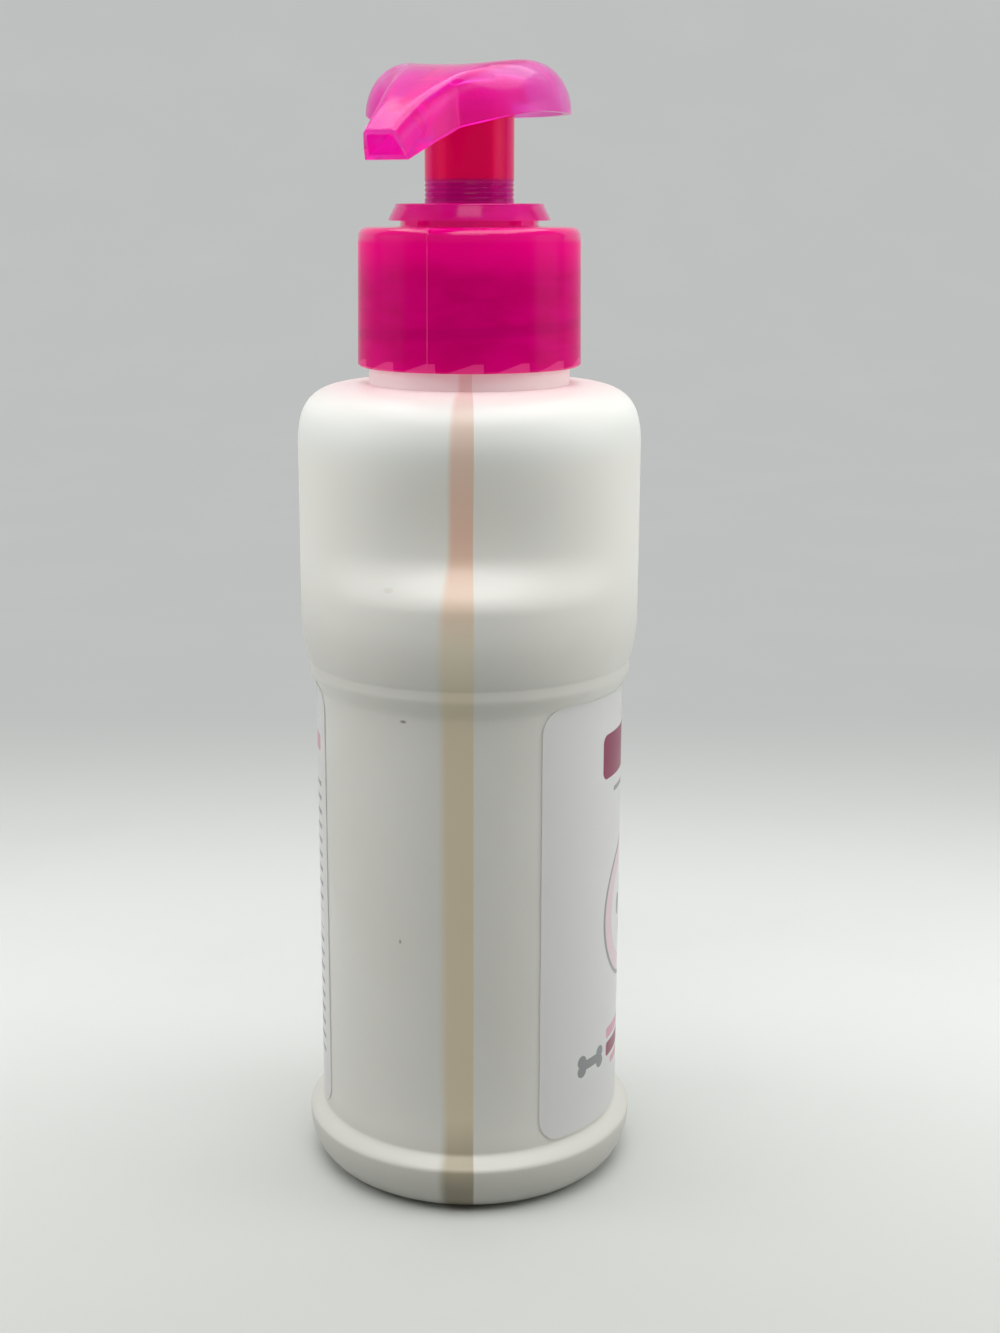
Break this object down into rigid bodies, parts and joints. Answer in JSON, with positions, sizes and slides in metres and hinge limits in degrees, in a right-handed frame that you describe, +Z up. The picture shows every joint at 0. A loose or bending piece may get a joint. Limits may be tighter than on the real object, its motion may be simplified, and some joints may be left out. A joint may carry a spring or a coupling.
{
  "type": "pet shampoo bottle",
  "caption": "White blown bottle with a scooped grip band, film labels, a magenta screw closure and a lotion pump whose head presses down, springs back and swivels.",
  "frame": {"origin": "centre of the ring that the bottle stands on", "axes": "+Z up along the axis of the bottle and pump, -Y towards the front label, -X and +X towards the scooped grips"},
  "size_m": [0.0544, 0.054, 0.1743],
  "materials": {
    "bottle_plastic": "satin white blown polyethylene with a translucent level stripe",
    "label_film": "smooth white film",
    "closure_plastic": "translucent magenta, polished",
    "collar_plastic": "translucent magenta, polished",
    "head_plastic": "translucent pink, polished",
    "natural_plastic": "natural milky polypropylene",
    "seal_plastic": "soft natural polyethylene",
    "spring_steel": "bright stainless steel"
  },
  "bodies": {
    "bottle": {"bottle": "bottle_plastic", "front_label": "label_film", "back_label": "label_film"},
    "pump": {"housing": "natural_plastic", "gasket": "seal_plastic", "chaplet": "collar_plastic", "spring": "spring_steel", "dip_tube": "natural_plastic"},
    "closure": {"closure": "closure_plastic"},
    "plunger": {"piston": "seal_plastic"},
    "head": {"actuator": "head_plastic", "stem": "natural_plastic", "stem_plug": "natural_plastic"},
    "inlet_valve": {"inlet_ball": "spring_steel"},
    "outlet_valve": {"outlet_ball": "spring_steel"}
  },
  "joints": [
    {"name": "closure_rise", "type": "slide", "parent": "bottle", "child": "pump", "axis": [0, 0, 1], "range_m": [0, 0.0105]},
    {"name": "closure_turn", "type": "hinge", "parent": "pump", "child": "closure", "pos_m": [0, 0, 0.14], "axis": [0, 0, 1], "range_deg": [0, 900.1]},
    {"name": "pump_stroke", "type": "slide", "parent": "pump", "child": "plunger", "axis": [0, 0, -1], "range_m": [0, 0.012], "stiffness_N_per_m": 600, "springref_m": -0.01, "deforming": ["spring"]},
    {"name": "head_swivel", "type": "hinge", "parent": "plunger", "child": "head", "pos_m": [0, 0, 0.16], "axis": [0, 0, 1], "continuous": true},
    {"name": "inlet_lift", "type": "slide", "parent": "pump", "child": "inlet_valve", "axis": [0, 0, 1], "range_m": [0, 0.0015]},
    {"name": "outlet_lift", "type": "slide", "parent": "head", "child": "outlet_valve", "axis": [0, 0, 1], "range_m": [0, 0.0015]}
  ],
  "couplings": [
    {"joint": "closure_turn", "follows": "closure_rise", "rad_per_m": 1496}
  ]
}
